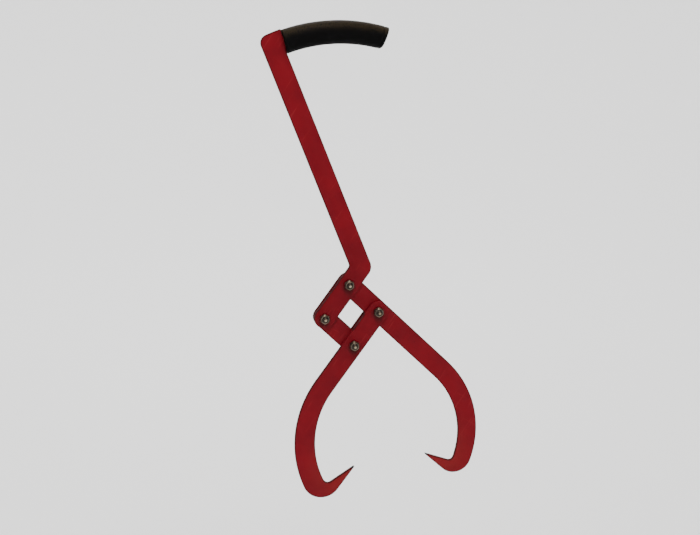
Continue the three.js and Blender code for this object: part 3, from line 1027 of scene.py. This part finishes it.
def nutProfile():
    f = fasteners
    collar, height, shoulder = f["collarRadius"], f["nutHeight"], f["nutHexHeight"]
    curl = height - f["collarCurlRise"]
    rows = [(f["boreRadius"], 0.5), (f["boreRadius"] + 0.5, 0)] + coneRows(0, -1)
    rows += [(cornerReach, shoulder / 2)]
    rows += list(reversed(coneRows(shoulder, 1)))
    rows += [(collar + 0.12, shoulder + 0.12), (collar, shoulder + 0.4), (collar, curl)]
    for k in range(1, f["collarSteps"] + 1):
        turn = math.radians(90 * k / f["collarSteps"])
        inward = f["collarCurl"] * (1 - math.cos(turn))
        rows.append((collar - inward, curl + (f["collarCurlRise"] - 0.02) * math.sin(turn)))
    # The lip over the ring, and the pocket that holds it
    rows += [(5.30, height), (5.18, height - 0.12), (5.16, height - 0.6), (5.48, height - 0.68)]
    rows += [(5.48, f["insertFloor"] - 0.3), (f["boreRadius"], f["insertFloor"] - 0.35)]
    return rows + rows[:1]


def insertProfile():
    f = fasteners
    outer, inner, low = f["insertRadius"], f["boltRadius"] + 0.12, f["insertFloor"]
    top = low + f["insertThickness"]
    rows = [(inner, low + 0.1), (inner + 0.1, low), (outer - 0.1, low), (outer, low + 0.1)]
    rows += [(outer, top - 0.25), (outer - 0.12, top - 0.06), (outer - 0.35, top)]
    rows += [(inner + 0.45, top - 0.02), (inner + 0.15, top - 0.16), (inner, top - 0.4)]
    return rows + rows[:1]


def washerProfile():
    f = fasteners
    outer, inner, thick = f["washerRadius"], f["boreRadius"], f["washerThickness"]
    rows = [(inner, 0.25), (inner + 0.25, 0), (outer - 0.12, 0), (outer, 0.12)]
    rows += [(outer, thick - 0.35), (outer - 0.12, thick - 0.1), (outer - 0.38, thick)]
    rows += [(inner + 0.2, thick), (inner, thick - 0.2)]
    return rows + rows[:1]


def pivotPlace(pivot, height):
    return tuple(drawing @ Vector((*pivot, height)))


def makeFasteners():
    tree = turnedTree()
    f = fasteners
    noFlats = 4 * f["washerRadius"]
    kinds = (
        ("Bolts", boltProfile(), f["boltSeat"], f["acrossFlats"], zincPlate, "zinc", "pivot_bolt_"),
        ("Washers", washerProfile(), f["washerSeat"], noFlats, zincPlate, "zinc", "washer_"),
        ("Nuts", nutProfile(), f["nutSeat"], f["acrossFlats"], zincPlate, "zinc", "lock_nut_"),
        ("NutRings", insertProfile(), f["nutSeat"], noFlats, nylonGrey, "nylon", "nut_insert_"),
    )
    owners = (
        ("handle", "handle", (upperPivot, leftPivot), ("upper", "left")),
        ("leftArm", "left_arm", (rightPivot, lowerPivot), ("right", "lower")),
    )
    for title, body, pivots, places in owners:
        for label, profile, seat, flats, material, slot, node in kinds:
            obj = growMesh(title + label, tree, {
                "Facets": f["facets"], "Across Flats": flats * mm,
                "Thread Pitch": f["threadPitch"] * mm, "Thread Depth": f["threadDepth"] * mm,
                "First Place": pivotPlace(pivots[0], seat),
                "Second Place": pivotPlace(pivots[1], seat),
                "Twist": math.radians(f["twist"]), "Seed": f["seed"] + len(title) + len(label),
                "Material": material,
            }, profileMesh(label + "Profile", profile))
            faceOut(obj.data)
            obj.data.set_sharp_from_angle(angle=math.radians(f["sharpAngle"]))
            addZincShadeAndDirt(obj.data, pivots)
            finishPiece(obj, body, [node + place for place in places])


def addZincShadeAndDirt(mesh, pivots):
    # Painted shade, with some dirt, between the bolt's end and the nut's collar, on the nut's flats
    # and more at its sides
    values = []
    centres = [drawing @ Vector((*pivot, 0)) for pivot in pivots]
    for vertex in mesh.vertices:
        nearest = min(centres, key=lambda centre: (vertex.co.xz - centre.xz).length)
        offset = (vertex.co.xz - nearest.xz) / mm
        radius = offset.length
        aside = abs(offset.x) / max(radius, 0.1)
        low = max(
            grow(radius, *shadeAndDirt["gap"]) * grow(radius, *shadeAndDirt["collarTop"]),
            (shadeAndDirt["flatsShare"] + shadeAndDirt["flatsAside"] * aside) * grow(radius, *shadeAndDirt["flats"]),
            shadeAndDirt["boltEdgeAside"] * aside * grow(radius, *shadeAndDirt["boltEdge"]),
        )
        values.append(low if vertex.co.y < 0 else shadeAndDirt["back"])
    mesh.attributes.new("zincShadeAndDirt", "FLOAT", "POINT").data.foreach_set("value", values)


def grow(value, start, full):
    return min(1.0, max(0.0, (value - start) / (full - start)))


makeFasteners()
print("fasteners made")


# Stage: pale floor, soft light, camera

stage = {
    "centre": (0.06, 0.0),
    "floorHeight": -1.15,
    "floorRadius": 3.4,
    "sweepRadius": 1.3,
    "wallHeight": 3.6,
    "floorRings": 6,
    "sweepRings": 24,
    "floorSegments": 160,
    "floorTone": (0.88, 0.88, 0.88),
    "floorRoughness": 0.95,
    "skyTone": (1.0, 1.0, 1.0),
    "skyStrength": 0.40,
    "cameraPlace": (-0.3564, -2.0619, 0.1650),
    "cameraAim": (0.1756, 0.9562, -0.2343),
    "focalLength": 76.11,
    "sensorWidth": 36.0,
    "furthestSeen": 200.0,
}
lamps = (
    # name, place, aim, width, height, watts, tone
    ("keyLight", (0.0, -1.9, 2.5), (0.05, 0.0, -0.40), 0.9, 0.7, 105.0, (1.0, 0.985, 0.955)),
    ("topLight", (0.1, 2.4, 2.9), (0.1, 2.5, -1.15), 5.0, 3.4, 230.0, (1.0, 1.0, 1.0)),
)


def makeFloor():
    # A round floor that sweeps up all round, so that no horizon shows
    low, sweep, flat = stage["floorHeight"], stage["sweepRadius"], stage["floorRadius"]
    rings, bends = stage["floorRings"], stage["sweepRings"]
    profile = [(flat * k / rings, low) for k in range(1, rings + 1)]
    for k in range(1, bends + 1):
        turn = math.radians(90 * k / bends)
        profile.append((flat + sweep * math.sin(turn), low + sweep * (1 - math.cos(turn))))
    profile.append((flat + sweep, low + stage["wallHeight"]))
    around, (x, y) = stage["floorSegments"], stage["centre"]
    points = [(x, y, low)]
    for reach, height in profile:
        for k in range(around):
            turn = math.radians(360 * k / around)
            points.append((x + reach * math.cos(turn), y + reach * math.sin(turn), height))
    faces = [(0, 1 + k, 1 + (k + 1) % around) for k in range(around)]
    for i in range(len(profile) - 1):
        first = 1 + i * around
        for k in range(around):
            j = (k + 1) % around
            faces.append((first + k, first + around + k, first + around + j, first + j))
    mesh = bpy.data.meshes.new("paleFloor")
    mesh.from_pydata(points, [], faces)
    mesh.polygons.foreach_set("use_smooth", [True] * len(faces))
    floor = bpy.data.objects.new("paleFloor", mesh)
    bpy.context.scene.collection.objects.link(floor)
    material, _, shader, _ = startMaterial("palePaper")
    shader.inputs["Base Color"].default_value = (*stage["floorTone"], 1.0)
    shader.inputs["Roughness"].default_value = stage["floorRoughness"]
    mesh.materials.append(material)


def makeLight(name, place, aim, width, height, watts, tone):
    light = bpy.data.lights.new(name, "AREA")
    light.shape = "RECTANGLE"
    light.size = width
    light.size_y = height
    light.energy = watts
    light.color = tone
    obj = bpy.data.objects.new(name, light)
    obj.location = place
    obj.rotation_mode = "QUATERNION"
    obj.rotation_quaternion = (Vector(aim) - Vector(place)).to_track_quat("-Z", "Y")
    obj.visible_camera = False
    bpy.context.scene.collection.objects.link(obj)


def makeSky():
    world = bpy.data.worlds.new("studio")
    world.use_nodes = True
    back = world.node_tree.nodes["Background"]
    back.inputs["Color"].default_value = (*stage["skyTone"], 1.0)
    back.inputs["Strength"].default_value = stage["skyStrength"]
    bpy.context.scene.world = world


def makeCamera():
    data = bpy.data.cameras.new("photoCamera")
    data.sensor_width = stage["sensorWidth"]
    data.sensor_fit = "HORIZONTAL"
    data.lens = stage["focalLength"]
    data.clip_end = stage["furthestSeen"]
    camera = bpy.data.objects.new("photoCamera", data)
    camera.location = stage["cameraPlace"]
    camera.rotation_mode = "QUATERNION"
    camera.rotation_quaternion = Vector(stage["cameraAim"]).to_track_quat("-Z", "Y")
    bpy.context.scene.collection.objects.link(camera)
    bpy.context.scene.camera = camera


makeFloor()
makeSky()
makeCamera()
for lamp in lamps:
    makeLight(*lamp)
print("stage made")
